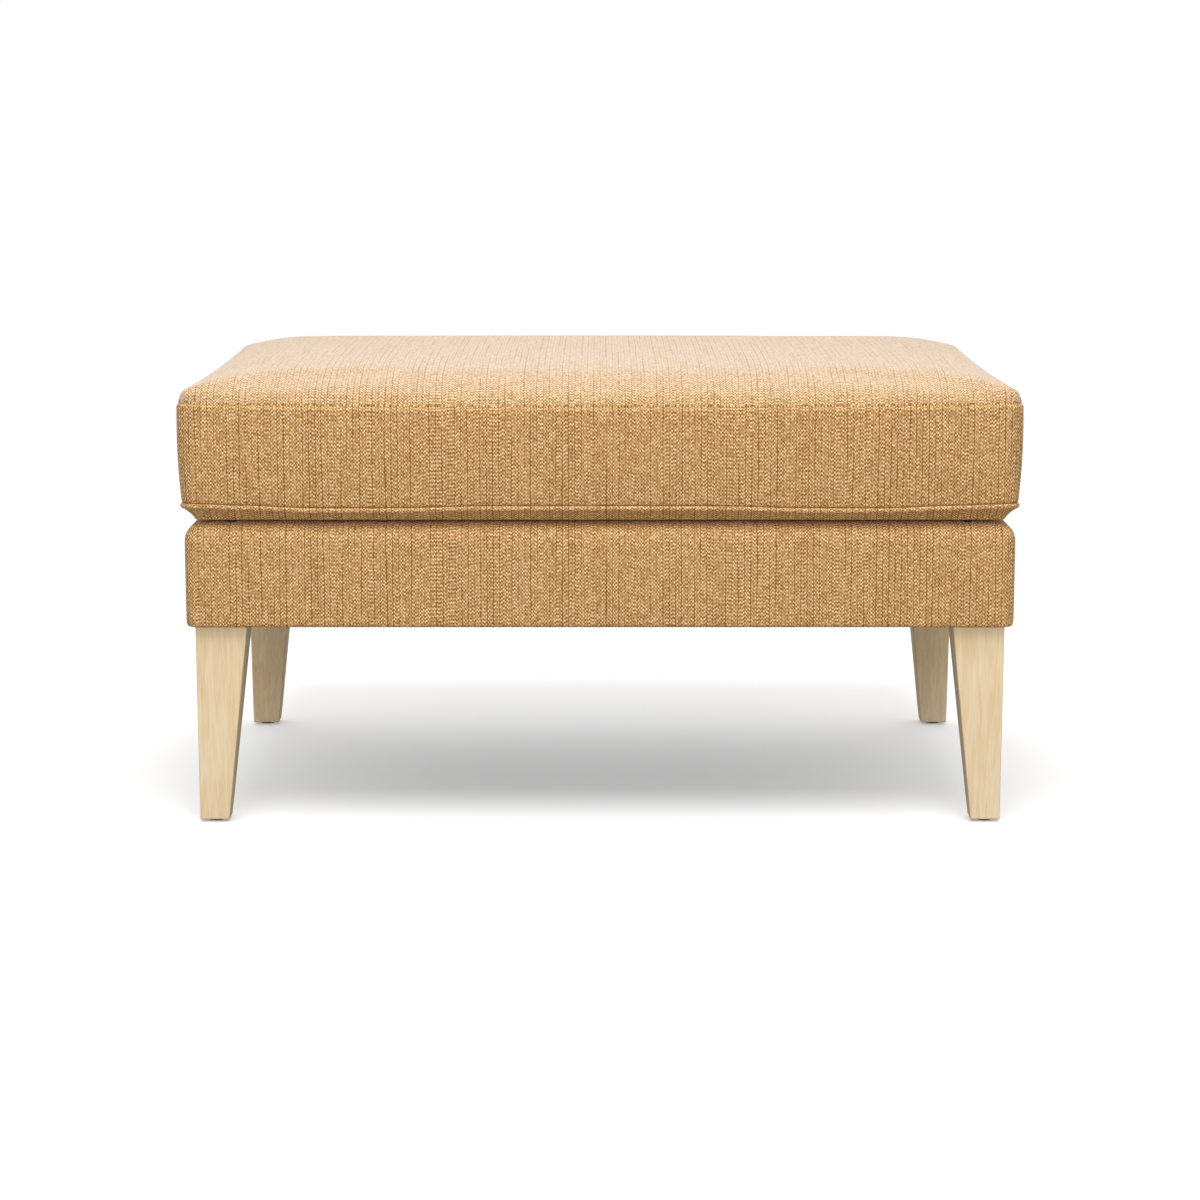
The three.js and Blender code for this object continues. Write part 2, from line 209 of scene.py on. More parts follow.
def loop_band(name, outline, outer, inner):
    """A closed ring of cloth or stuffing between an outer and an inner path of (inset, z)."""
    path = outer + inner[::-1]
    verts, faces, uvs = [], [], []
    n = outline.n
    along = 0.0
    for i, (inset, z) in enumerate(path):
        following = (i + 1) % len(path)
        verts += [(x, y, z) for x, y in outline.ring(inset)]
        faces += quads_between(i * n, following * n, n)
        step = math.hypot(path[following][0] - inset, path[following][1] - z)
        uvs += quad_uvs(outline.arc, along, along + step)
        along += step
    return add_object(name, verts, faces, uvs)


# ---------------------------------------------------------------- cushion
def cushion_seam_heights(outline):
    """Heights of the top and bottom seam at each ring point: corners sit a little high."""
    top, bottom = [], []
    for x, y in outline.ring(0):
        away_x, away_y = outline.hx - abs(x), outline.hy - abs(y)
        share = abs(x) / outline.hx if away_y < away_x else abs(y) / outline.hy
        top.append(SEAM_TOP + CORNER_LIFT * math.exp(-(away_x + away_y) / CORNER_REACH))
        bottom.append(SEAM_BOTTOM + lerp_table(SEAM_WAVE, share))
    return top, bottom


def crown_height(outline, x, y):
    """Rise of the top panel over its seam."""
    dx, dy = max(outline.hx - abs(x), 0.01), max(outline.hy - abs(y), 0.01)
    away = (dx**-CROWN_CORNER + dy**-CROWN_CORNER) ** (-1 / CROWN_CORNER)
    middle = (1 - (x / outline.hx) ** 2) * (1 - (y / outline.hy) ** 2)
    edge = 1 - math.exp(-((away / CROWN_REACH) ** CROWN_POWER))
    return CROWN_EDGE * edge + CROWN_MIDDLE * max(middle, 0)


# (inset, height over the bottom seam, drop of the rolled edge) of the strip under the cushion. The roll fades
# out between the two ROLL_ENDS towards the rear, and rows lower than STRIP_FLAT don't follow the seam's wave.
STRIP = [(52, -11.0, 0), (50, -11.6, 0), (44, -11.8, 0), (38, -11.8, 0), (33, -11.8, 0), (28, -11.8, 0.2)]
STRIP += [(24, -11.7, 0.5), (21, -11.5, 0.7), (18.4, -10.9, 0.6), (15.6, -9.2, 0.4)]
STRIP += [(12.4, -6.6, 0.2), (9.0, -3.9, 0.1)]
STRIP_FLAT = -10.7
ROLL_ENDS = (170.0, 255.0)
# (inset, height over the bottom seam) of the lip over that seam
LIP = [(6.2, -2.1), (4.1, -1.2), (2.6, -0.1), (2.2, 1.3), (2.4, 3.0)]
LIP += [(3.5, 4.1), (6.0, 4.8), (4.0, 5.8), (3.5, 7.6)]
# (share of the way up, inset) of the boxing
BOXING = [(0.12, 3.2), (0.2, 2.3), (0.3, 1.5), (0.4, 0.8), (0.5, 0.4)]
BOXING += [(0.6, 0.1), (0.7, 0.0), (0.8, 0.0), (0.9, 0.2)]
# (inset, height over the top seam) of the fold at that seam, and the edge of the top panel over it
TOP_FOLD = [(0.3, -5.0), (0.4, -3.0), (0.8, -1.3), (3.2, -0.4)]
EDGE_INSET = 1.8
EDGE_LIFT = 1.6
# How the stuffing presses on the cloth, and for how many frames
CLOTH = dict(
    quality=6, mass=0.15, tension_stiffness=120, compression_stiffness=120, shear_stiffness=60,
    bending_stiffness=4, use_pressure=True, uniform_pressure_force=1.0,
)
CLOTH_FRAMES = 20


def grid_stops(count, corner):
    """Grid lines across a cap: round one corner, along the side in count steps and round the other corner."""
    before = [("c", -k / corner) for k in range(corner, 0, -1)]
    side = [("s", 2 * i / count - 1) for i in range(count + 1)]
    return before + side + [("c", k / corner) for k in range(1, corner + 1)]


class Cushion:
    """The cushion's cover as one closed skin, with the vertices that its seams hold."""

    def __init__(self):
        self.out = Outline(**CUSHION)
        self.seam, self.low = cushion_seam_heights(self.out)
        self.verts, self.faces, self.uvs, self.pins = [], [], [], set()
        self.along = 0.0
        below = self.side()
        self.cap(below, self.under_height, UNDER_UV)
        self.first_top_face = len(self.faces)
        self.cap(self.last, self.top_height, TOP_UV)

    def ring(self, inset, height, pinned=False):
        start = len(self.verts)
        for j, (x, y) in enumerate(self.out.ring(inset)):
            self.verts.append((x, y, height(j)))
        if pinned:
            self.pins.update(range(start, start + self.out.n))
        return start, inset

    def side(self):
        """All the rings from the strip's inner edge up to the top panel's edge."""
        fade = [(ROLL_ENDS[0], 0.0), (ROLL_ENDS[1], 1.0)]
        roll = [1 - lerp_table(fade, y) for x, y in self.out.ring(0)]
        level = [SEAM_BOTTOM] * self.out.n
        rings = []
        for inset, z, drop in STRIP:
            seam = level if z < STRIP_FLAT else self.low
            rings.append(self.ring(inset, lambda j: seam[j] + z - drop * roll[j], True))
        rings += [self.ring(inset, lambda j: self.low[j] + z, True) for inset, z in LIP]
        for share, inset in BOXING:
            rings.append(self.ring(inset, lambda j: self.low[j] + share * (self.seam[j] - self.low[j])))
        rings += [self.ring(inset, lambda j: self.seam[j] + z, True) for inset, z in TOP_FOLD]
        rings.append(self.ring(EDGE_INSET, lambda j: self.seam[j] + EDGE_LIFT, True))
        for a, b in zip(rings, rings[1:]):
            self.join(a[0], b[0])
        self.last = rings[-1]
        return rings[0]

    def join(self, a, b):
        step = math.dist(self.verts[a], self.verts[b])
        self.faces += quads_between(a, b, self.out.n)
        self.uvs += quad_uvs(self.out.arc, self.along, self.along + step)
        self.along += step

    def top_height(self, x, y):
        away = self.out.hx - abs(x) + self.out.hy - abs(y)
        lift = CORNER_LIFT * math.exp(-away / CORNER_REACH)
        return SEAM_TOP + EDGE_LIFT + lift + crown_height(self.out, x, y)

    def under_height(self, x, y):
        return LID_UNDERSIDE

    def cap(self, edge, height, offset):
        """Closes a ring with a grid of quads whose border is the ring."""
        start, inset = edge
        out = self.out
        box = out.hx - inset, out.hy - inset, max(out.r - inset, 1.0)
        xs, ys = grid_stops(out.nx, out.corner), grid_stops(out.ny, out.corner)
        border = {(round(x, 3), round(y, 3)): start + j for j, (x, y) in enumerate(out.ring(inset))}
        grid = [[self.grid_vertex(x, y, box, border, height) for x in xs] for y in ys]
        upward = height == self.top_height
        u_of, v_of = self.developed(grid)
        for q in range(len(ys) - 1):
            for p in range(len(xs) - 1):
                spots = [(q, p), (q, p + 1), (q + 1, p + 1), (q + 1, p)]
                if not upward:
                    spots.reverse()
                self.faces.append(tuple(grid[i][k] for i, k in spots))
                self.uvs += [(u_of[i][k], v_of[i][k] + offset) for i, k in spots]

    def grid_vertex(self, x_stop, y_stop, box, border, height):
        """The vertex at a crossing of two grid lines: one of the border's, or a new one."""
        (kx, tx), (ky, ty), (hx, hy, r) = x_stop, y_stop, box
        cx = (hx - r) * (tx if kx == "s" else math.copysign(1, tx))
        cy = (hy - r) * (ty if ky == "s" else math.copysign(1, ty))
        a, b = (0 if kx == "s" else abs(tx)), (0 if ky == "s" else abs(ty))
        x, y = cx + math.copysign(r * a, tx), cy + math.copysign(r * b, ty)
        if a and b:
            far = max(a, b)
            angle = math.radians(45 * b / a if a >= b else 90 - 45 * a / b)
            x = cx + math.copysign(r * far * math.cos(angle), tx)
            y = cy + math.copysign(r * far * math.sin(angle), ty)
        found = border.get((round(x, 3), round(y, 3)))
        if found is not None:
            return found
        self.verts.append((x, y, height(x, y)))
        if height == self.under_height:
            self.pins.add(len(self.verts) - 1)
        return len(self.verts) - 1

    def developed(self, grid):
        """Length measured over the cloth from the middle, across and along, for each grid point."""
        def lengths(line):
            at = [self.verts[v] for v in line]
            found, middle = [0.0] * len(at), len(at) // 2
            for p in range(middle + 1, len(at)):
                found[p] = found[p - 1] + math.dist(at[p], at[p - 1])
            for p in range(middle - 1, -1, -1):
                found[p] = found[p + 1] - math.dist(at[p], at[p + 1])
            return found

        columns = [lengths(column) for column in zip(*grid)]
        return [lengths(row) for row in grid], list(zip(*columns))


def make_cushion():
    made = Cushion()
    obj = add_object("cushion", made.verts, made.faces, made.uvs)
    for p in obj.data.polygons:
        p.material_index = int(p.index >= made.first_top_face)
    return obj, made.pins


def stuff(obj, pins):
    """Lets the stuffing press the cloth out between its seams, no point by more than SWELL."""
    rest = [v.co.copy() for v in obj.data.vertices]
    group = obj.vertex_groups.new(name="seams")
    group.add(sorted(pins), 1.0, "REPLACE")
    cloth = obj.modifiers.new("Stuffing", "CLOTH")
    for key, value in CLOTH.items():
        setattr(cloth.settings, key, value)
    cloth.settings.vertex_group_mass = group.name
    cloth.settings.effector_weights.gravity = 0
    cloth.collision_settings.use_collision = False
    cloth.point_cache.frame_start, cloth.point_cache.frame_end = 1, CLOTH_FRAMES
    scene = bpy.context.scene
    for frame_number in range(1, CLOTH_FRAMES + 1):
        scene.frame_set(frame_number)
    graph = bpy.context.evaluated_depsgraph_get()
    moved = [v.co.copy() for v in obj.evaluated_get(graph).data.vertices]
    obj.modifiers.clear()
    scene.frame_set(1)
    limit = SWELL * MM
    for v, a, b in zip(obj.data.vertices, rest, moved):
        step = b - a
        if step.length > limit:
            step *= limit / step.length
        v.co = a + step
    obj.vertex_groups.clear()
    obj.data.update()


cushion, seam_points = make_cushion()
stuff(cushion, seam_points)
subdivided(cushion)
cushion.data.name = "cushion"


# ---------------------------------------------------------------- base upholstery
# The cloth's path as (inset, z): under the bottom edge, up the face, over the rim and down inside it
RIM_RADIUS = 18.5
RIM_START = 313.3
COVER_THICKNESS = 1.4
RIM_PATH = (
    [(33, 219.6), (32, 218.4), (18, 218.0), (5, 218.0), (2.4, 218.5), (0.9, 219.9), (0.3, 222.4), (0.05, 227)]
    + [(0, z) for z in (236, 254, 272, 290, 308)]
    + [
        (RIM_RADIUS * (1 - math.cos(math.radians(a))), RIM_START + RIM_RADIUS * math.sin(math.radians(a)))
        for a in range(0, 76, 15)
    ]
    + [(21, 332.5), (24, 333.1), (26.5, 332.6), (28.2, 330.8), (29, 328.0), (29, 325.0), (28.6, 322.8)]
)


def offset_path(path, distance):
    """The same path moved by distance towards the stuffing, point by point."""
    moved = []
    for k, (i, z) in enumerate(path):
        i0, z0 = path[max(k - 1, 0)]
        i1, z1 = path[min(k + 1, len(path) - 1)]
        length = math.hypot(i1 - i0, z1 - z0)
        moved.append((i + distance * (z1 - z0) / length, z - distance * (i1 - i0) / length))
    return moved


base_outline = Outline(**BASE)
COVER_INNER = offset_path(RIM_PATH, COVER_THICKNESS)
base_cover = subdivided(loop_band("base_upholstery", base_outline, RIM_PATH, COVER_INNER))

# The padding lies a little inside the cloth and against the rails.
PAD_OUTER = offset_path(RIM_PATH[6:-3], 2.0)
PAD_INNER = [(11.6, 224), (11.6, 322.4), (26.6, 322.4)]
rail_padding = loop_band("rail_padding", base_outline, PAD_OUTER, PAD_INNER)


# ---------------------------------------------------------------- lining and dust cover
def soft_noise(x, y, z, size):
    return noise.noise(Vector((x / size, y / size, z / size)))


# A flat cloth's grid, how far in its edge holds it up, and the sizes of its sags and of its small ripples
FLAT_CELL = 22
SLACK_REACH = 60
SAG_SIZE = 130
RIPPLE_SIZE = 35
RIPPLE = 0.25
HEM_DROP = 0.5


def flat_cloth(name, half_x, half_y, notch, z, thickness, sag, hem):
    """A flat cloth with a turned hem, cut away at its corners by notch, hanging a little in the middle."""
    def lines(half):
        inner = half - hem
        count = max(2, round(2 * inner / FLAT_CELL))
        stops = [-half] + [-inner + 2 * inner * i / count for i in range(count + 1)] + [half]
        if notch:
            stops += [half - notch, notch - half]
        return sorted({round(v, 4) for v in stops})

    xs, ys = lines(half_x), lines(half_y)
    verts, faces, uvs, index = [], [], [], {}

    def vertex(x, y):
        if (x, y) not in index:
            edge = min(half_x - abs(x), half_y - abs(y))
            if notch:
                edge = min(edge, max(half_x - notch - abs(x), half_y - notch - abs(y)))
            slack = 1 - math.exp(-max(edge, 0) / SLACK_REACH)
            hang = sag * slack * (0.75 + 0.5 * soft_noise(x, y, z, SAG_SIZE))
            hang += RIPPLE * soft_noise(x, y, z, RIPPLE_SIZE) * slack
            index[(x, y)] = len(verts)
            verts.append((x, y, z - hang - (HEM_DROP if edge < hem - 0.01 else 0.0)))
        return index[(x, y)]

    for y0, y1 in zip(ys, ys[1:]):
        for x0, x1 in zip(xs, xs[1:]):
            cx, cy = abs(x0 + x1) / 2, abs(y0 + y1) / 2
            if notch and cx > half_x - notch and cy > half_y - notch:
                continue
            spots = [(x0, y0), (x1, y0), (x1, y1), (x0, y1)]
            faces.append(tuple(vertex(*c) for c in spots))
            uvs += spots
    return thickened(add_object(name, verts, faces, uvs), thickness, 1.0)


def chamfered_ring(half_x, half_y, leg, step=24):
    """Points round a rectangle whose corners are cut off, counter-clockwise."""
    corners = [(half_x - leg, half_y), (leg - half_x, half_y)]
    corners += [(-half_x, half_y - leg), (-half_x, leg - half_y)]
    corners += [(-x, -y) for x, y in corners]
    points = []
    for (x0, y0), (x1, y1) in zip(corners, corners[1:] + corners[:1]):
        count = max(2, round(math.dist((x0, y0), (x1, y1)) / step))
        points += [(x0 + (x1 - x0) * i / count, y0 + (y1 - y0) * i / count) for i in range(count)]
    return points


WELL = dict(half_x=421.2, half_y=266.2, leg=72.0, floor=233.6, top=326.0)
WELL_HEM = 17
WELL_THICKNESS = 0.9
CHAMFER_SHARE = 0.59
# How far in from the wall each ring of the floor lies, as shares, and where the floor's cloth starts in UV
FLOOR_RINGS = (0.93, 0.86, 0.77, 0.66, 0.54, 0.41, 0.27, 0.13)
FLOOR_UV = 1500


def make_well_lining():
    """A sewn lining: a hem at the top, walls, and a floor, slightly slack between its seams."""
    half_x, half_y, leg, floor = (WELL[key] for key in ("half_x", "half_y", "leg", "floor"))
    base_ring = chamfered_ring(half_x, half_y, leg)
    n, arc = len(base_ring), arc_lengths(base_ring)
    tall = WELL["top"] - floor
    # (inset, height over the floor) of the turned-over hem, then of the wall and its foot
    path = [(0.3, tall - 20), (0.3, tall - 3), (0.5, tall - 0.8), (1.2, tall), (1.9, tall - 0.6)]
    path += [(2.2, tall - 2.4), (2.2, tall - 12), (2.1, tall - 15.6)]
    path += [(1.3, tall - 16.2), (1.2, tall - WELL_HEM)]
    hem_rows = len(path)
    path += [(1.3, h) for h in (62, 50, 38, 26, 14)] + [(1.6, 7), (3.2, 2.4), (7, 0.6), (14, 0.0)]
    verts, faces, uvs = [], [], []
    along = 0.0
    for k, (inset, h) in enumerate(path):
        ring = chamfered_ring(half_x - inset, half_y - inset, leg - inset * CHAMFER_SHARE)
        slack = max(0.0, math.sin(math.pi * min(max(h / (tall - WELL_HEM), 0), 1))) if k >= hem_rows else 0.0
        for j, (x, y) in enumerate(base_ring):
            rx, ry = ring[j] if len(ring) == n else (x, y)
            bulge = slack * (0.8 + 1.6 * soft_noise(x, y, h, 90))
            scale = 1 - bulge / math.hypot(x, y)
            verts.append((rx * scale, ry * scale, floor + h))
        if k:
            step = math.dist(path[k], path[k - 1])
            faces += quads_between((k - 1) * n, k * n, n)
            uvs += quad_uvs(arc, along, along + step)
            along += step
    last = (len(path) - 1) * n
    rim = verts[last:]
    bottom = []
    for share in FLOOR_RINGS:
        start = len(verts)
        for x, y, _ in rim:
            px, py = x * share, y * share
            verts.append((px, py, floor + 0.45 * (soft_noise(px, py, 0, 120) + 1) * (1 - share ** 6)))
        bottom += quads_between(last, start, n)
        last = start
    centre = len(verts)
    verts.append((0, 0, floor + 0.4))
    bottom += [(last + j, last + (j + 1) % n, centre) for j in range(n)]
    uvs += [(verts[v][0], verts[v][1] + FLOOR_UV) for face in bottom for v in face]
    obj = thickened(add_object("well_lining_cloth", verts, faces + bottom, uvs), WELL_THICKNESS, -1.0)
    return obj, sum(p.area for p in obj.data.polygons) / 2


well_cloth, well_area = make_well_lining()
LID_LINING = dict(half_x=412, half_y=259, notch=0, z=334.9, thickness=0.7, sag=0.0, hem=14)
DUST_COVER = dict(half_x=431, half_y=276, notch=62, z=217.7, thickness=0.6, sag=2.2, hem=12)
lid_cloth = flat_cloth("lid_lining_cloth", **LID_LINING)
dust_cloth = flat_cloth("dust_cover_cloth", **DUST_COVER)


# ---------------------------------------------------------------- legs
def make_leg(name, sx, sy):
    """A square tapered leg with eased edges."""
    low, top = LEG_LOW_W / 2, LEG_TOP_W / 2
    hx, hy = BASE["w"] / 2 - LEG_INSET, BASE["d"] / 2 - LEG_INSET
    # (z, half width, share of the way up)
    levels = [(2.8, low - 0.5, 0), (3.2, low - 0.1, 0), (4.0, low, 0), (5.5, low, 0)]
    for z in [20 + 195.5 * i / 12 for i in range(13)]:
        levels.append((z, low + (top - low) * (z - LEG_FOOT) / LEG_TALL, (z - LEG_FOOT) / LEG_TALL))
    levels += [(217.0, top, 1), (217.7, top - 0.4, 1)]
    verts, faces = [], []
    for z, half, share in levels:
        cx = sx * (hx - LEG_LEAN * (1 - share) - (low + (top - low) * share))
        cy = sy * (hy - LEG_LEAN * (1 - share) - (low + (top - low) * share))
        flat = half - LEG_EDGE
        for c, (ox, oy) in enumerate([(1, 1), (-1, 1), (-1, -1), (1, -1)]):
            for i in range(LEG_CORNER_STEPS + 1):
                a = math.radians(90 * (c + i / LEG_CORNER_STEPS))
                x, y = cx + ox * flat, cy + oy * flat
                verts.append((x + LEG_EDGE * math.cos(a), y + LEG_EDGE * math.sin(a), z))
    n = 4 * (LEG_CORNER_STEPS + 1)
    for i in range(len(levels) - 1):
        faces += quads_between(i * n, (i + 1) * n, n)
    faces.append(tuple(range(n))[::-1])
    faces.append(tuple(range((len(levels) - 1) * n, len(levels) * n)))
    return add_object(name, verts, faces)


CORNERS = {"front_left": (-1, -1), "front_right": (1, -1), "rear_right": (1, 1), "rear_left": (-1, 1)}
legs = {corner: make_leg("turned_leg_" + corner, *signs) for corner, signs in CORNERS.items()}


# ---------------------------------------------------------------- materials
SOCKETS = dict(f="Float", c="Color", v="Vector", i="Int", g="Geometry", m="Material")


def new_group(name, inputs, outputs, kind="Shader"):
    """A node group with its sockets, given as (label, kind, default value) and (label, kind)."""
    tree = bpy.data.node_groups.new(name, kind + "NodeTree")
    rows = [(*row, "INPUT") for row in inputs] + [(*row, None, "OUTPUT") for row in outputs]
    for label, letter, value, way in rows:
        socket_type = "NodeSocket" + SOCKETS[letter]
        made = tree.interface.new_socket(name=label, in_out=way, socket_type=socket_type)
        if value is not None:
            made.default_value = value
    return Wires(tree), tree.nodes.new("NodeGroupInput").outputs, tree.nodes.new("NodeGroupOutput")


class Wires:
    """Short calls for building a node tree."""

    def __init__(self, tree):
        self.tree = tree

    def node(self, kind, values=None, **settings):
        made = self.tree.nodes.new(kind)
        for key, value in settings.items():
            setattr(made, key, value)
        for socket, value in (values or {}).items():
            self.put(made, socket, value)
        return made

    def put(self, node, socket, value):
        if isinstance(value, bpy.types.NodeSocket):
            self.tree.links.new(value, node.inputs[socket])
        elif value is not None:
            node.inputs[socket].default_value = value

    def math(self, operation, a, b=None, c=None, clamp=False):
        values = {0: a, 1: b, 2: c}
        return self.node("ShaderNodeMath", values, operation=operation, use_clamp=clamp).outputs[0]

    def add(self, a, b):
        return self.math("ADD", a, b)

    def sub(self, a, b):
        return self.math("SUBTRACT", a, b)

    def mul(self, a, b):
        return self.math("MULTIPLY", a, b)

    def div(self, a, b):
        return self.math("DIVIDE", a, b)

    def vector(self, x, y, z=0.0):
        return self.node("ShaderNodeCombineXYZ", {0: x, 1: y, 2: z}).outputs[0]

    def split(self, vector):
        return self.node("ShaderNodeSeparateXYZ", {0: vector}).outputs

    def object_place(self):
        return self.node("ShaderNodeTexCoord").outputs["Object"]

    def noise(self, vector, scale=1.0, detail=2.0, roughness=0.5):
        values = {"Vector": vector, "Scale": scale, "Detail": detail, "Roughness": roughness}
        return self.node("ShaderNodeTexNoise", values).outputs["Fac"]

    def random(self, vector):
        made = self.node("ShaderNodeTexWhiteNoise", {"Vector": vector}, noise_dimensions="2D")
        return made.outputs["Value"]

    def math_vector(self, operation, values):
        return self.node("ShaderNodeVectorMath", values, operation=operation).outputs[0]

    def remap(self, value, low, high, to_low=0.0, to_high=1.0):
        values = {"Value": value, "From Min": low, "From Max": high, "To Min": to_low, "To Max": to_high}
        return self.node("ShaderNodeMapRange", values, interpolation_type="SMOOTHSTEP").outputs[0]

    def mix(self, factor, a, b):
        return self.node("ShaderNodeMix", {0: factor, 6: a, 7: b}, data_type="RGBA").outputs[2]

    def mix_shader(self, factor, a, b):
        return self.node("ShaderNodeMixShader", {0: factor, 1: a, 2: b}).outputs[0]


def weave_group():
    """Cloth of uneven yarns: columns of raised crossings with dark gaps between some of them."""
    w, g, out = new_group(
        "slub_weave",
        [
            ("Position", "v", None), ("Warp Pitch", "f", 0.0018), ("Weft Pitch", "f", 0.00208),
            ("Fleck", "f", 0.6), ("Streak", "f", 0.5), ("Gap", "f", 0.5), ("Slub Length", "f", 0.04),
            ("Light", "c", (0.7, 0.45, 0.22, 1)), ("Middle", "c", (0.56, 0.33, 0.14, 1)),
            ("Dark", "c", (0.3, 0.16, 0.05, 1)),
        ],
        [("Color", "c"), ("Height", "f"), ("Roughness", "f")],
    )
    u, v, _ = w.split(g["Position"])

    def along(column, spread, length, layer):
        """Noise that differs from column to column and changes slowly along each of them."""
        return w.noise(w.vector(w.mul(column, spread), w.div(v, length), layer), 1.0, 1.0)

    # Columns that sway a little, each with its own start of the weft pitch
    stretched = w.math_vector("MULTIPLY", {0: g["Position"], 1: (1.0, 0.06, 1.0)})
    sway = w.sub(w.noise(stretched, 190.0, 1.0), 0.5)
    across = w.add(w.div(u, g["Warp Pitch"]), w.mul(sway, 1.4))
    warp = w.math("FLOOR", across)
    shift = w.random(w.vector(warp, 3.0))
    up = w.add(w.div(v, g["Weft Pitch"]), w.math("MULTIPLY_ADD", shift, 0.9, warp))
    cell = w.vector(warp, w.math("FLOOR", up))

    # A raised crossing in each cell, of random size and bolder along some stretches
    ridge = w.math("ABSOLUTE", w.math("SINE", w.mul(across, math.pi)))
    crossing = w.mul(ridge, w.math("SINE", w.mul(up, math.pi)))
    size = w.math("MULTIPLY_ADD", w.math("POWER", w.random(cell), 2.0), 2.0, 0.15)
    size = w.mul(size, w.remap(along(warp, 3.77, g["Slub Length"], 1.3), 0.35, 0.65, 0.75, 1.3))
    fleck = w.mul(w.mul(crossing, size), g["Fleck"])

    # Slow changes of tone along each column
    tone = w.sub(along(warp, 7.31, g["Slub Length"], 3.7), 0.5)
    streak = w.mul(w.mul(tone, 3.0), g["Streak"])

    # In every four columns one strong gap and one faint gap, each more open along some stretches
    nearest = w.math("ROUND", across)
    place = w.math("FLOORED_MODULO", nearest, 4.0)
    strong, faint = w.math("LESS_THAN", place, 0.5), w.math("COMPARE", place, 2.0, 0.5)
    reach = along(nearest, 5.13, w.mul(g["Slub Length"], 2.2), 8.2)
    open_here = w.mul(w.math("MULTIPLY_ADD", faint, 0.35, strong), w.remap(reach, 0.38, 0.62, 0.35, 1.0))
    line = w.remap(w.math("ABSOLUTE", w.sub(across, nearest)), 0.36, 0.18)
    gap = w.mul(w.mul(open_here, line), g["Gap"])

    # Everything together, with a random tone for each cell. The last term makes up for what the gaps darken.
    cell_tone = w.random(w.math_vector("MULTIPLY", {0: cell, 1: (1.7, 2.3, 1.0)}))
    fuzz = w.mul(w.sub(cell_tone, 0.5), 0.5)
    value = w.sub(w.add(w.add(fleck, streak), fuzz), gap)
    value = w.add(value, w.mul(g["Gap"], 0.06))
    colour = w.mix(w.math("MAXIMUM", value, 0.0, clamp=True), g["Middle"], g["Light"])
    w.put(out, "Color", w.mix(w.math("MULTIPLY", value, -1.0, clamp=True), colour, g["Dark"]))
    w.put(out, "Height", w.math("MULTIPLY_ADD", crossing, 0.5, w.sub(w.mul(streak, 0.3), gap)))
    w.put(out, "Roughness", w.remap(value, -0.6, 0.6, 0.98, 0.84))
    return w.tree


def wood_group():
    """Long grain along Z with soft growth bands and fine pores."""
    w, g, out = new_group(
        "long_grain",
        [
            ("Position", "v", None), ("Band Width", "f", 0.012), ("Pore Width", "f", 0.0009),
            ("Contrast", "f", 0.5), ("Light", "c", (0.8, 0.65, 0.45, 1)), ("Dark", "c", (0.6, 0.42, 0.22, 1)),
        ],
        [("Color", "c"), ("Height", "f"), ("Roughness", "f")],
    )
    x, y, z = w.split(g["Position"])

    def grain(width, stretch, detail, roughness):
        """Noise drawn out along the grain."""
        return w.noise(w.vector(w.div(x, width), w.div(y, width), w.mul(z, stretch)), 1.0, detail, roughness)

    rings = w.math("SINE", w.mul(grain(g["Band Width"], 7.0, 3.0, 0.55), 26.0))
    pores = grain(g["Pore Width"], 38.0, 2.0, 0.6)
    patch = w.noise(g["Position"], 9.0, 2.0)
    amount = w.add(w.mul(w.remap(rings, -1.0, 1.0), 0.35), w.mul(w.remap(pores, 0.35, 0.75), 0.4))
    amount = w.add(amount, w.mul(w.remap(patch, 0.35, 0.7), 0.35))
    amount = w.math("MULTIPLY", amount, g["Contrast"], clamp=True)
    w.put(out, "Color", w.mix(amount, g["Light"], g["Dark"]))
    w.put(out, "Height", pores)
    w.put(out, "Roughness", w.remap(pores, 0.3, 0.8, 0.34, 0.52))
    return w.tree


def surface_group():
    """Soft patches and fine specks for foam and for moulded and plated pieces."""
    w, g, out = new_group(
        "handled_surface",
        [
            ("Position", "v", None), ("Patch Size", "f", 0.03),
            ("Base", "c", (0.5, 0.5, 0.5, 1)), ("Worn", "c", (0.6, 0.6, 0.6, 1)),
        ],
        [("Color", "c"), ("Height", "f"), ("Mask", "f")],
    )
    mask = w.remap(w.noise(g["Position"], w.div(1.0, g["Patch Size"]), 4.0, 0.6), 0.4, 0.65)
    w.put(out, "Color", w.mix(mask, g["Base"], g["Worn"]))
    w.put(out, "Height", w.noise(g["Position"], 2600.0, 2.0))
    w.put(out, "Mask", mask)
    return w.tree


GROUPS = {"weave": weave_group(), "wood": wood_group(), "surface": surface_group()}


def new_material(name, **principled):
    """A material with constant values on its shader's own sockets."""
    mat = bpy.data.materials.new(name)
    mat.use_nodes = True
    shader = mat.node_tree.nodes["Principled BSDF"]
    for key, value in principled.items():
        shader.inputs[key.replace("_", " ")].default_value = value
    return mat, Wires(mat.node_tree), shader


def use_group(w, name, position, **values):
    inputs = {key.replace("_", " "): value for key, value in values.items()}
    return w.node("ShaderNodeGroup", {"Position": position, **inputs}, node_tree=GROUPS[name]).outputs


def wire_shader(w, shader, colour, roughness, height, strength, relief_mm):
    """Wires a colour, a roughness and a bump into a shader."""
    bump = w.node("ShaderNodeBump", {"Height": height, "Strength": strength, "Distance": relief_mm * MM})
    w.put(shader, "Base Color", colour)
    w.put(shader, "Roughness", roughness)
    w.put(shader, "Normal", bump.outputs[0])


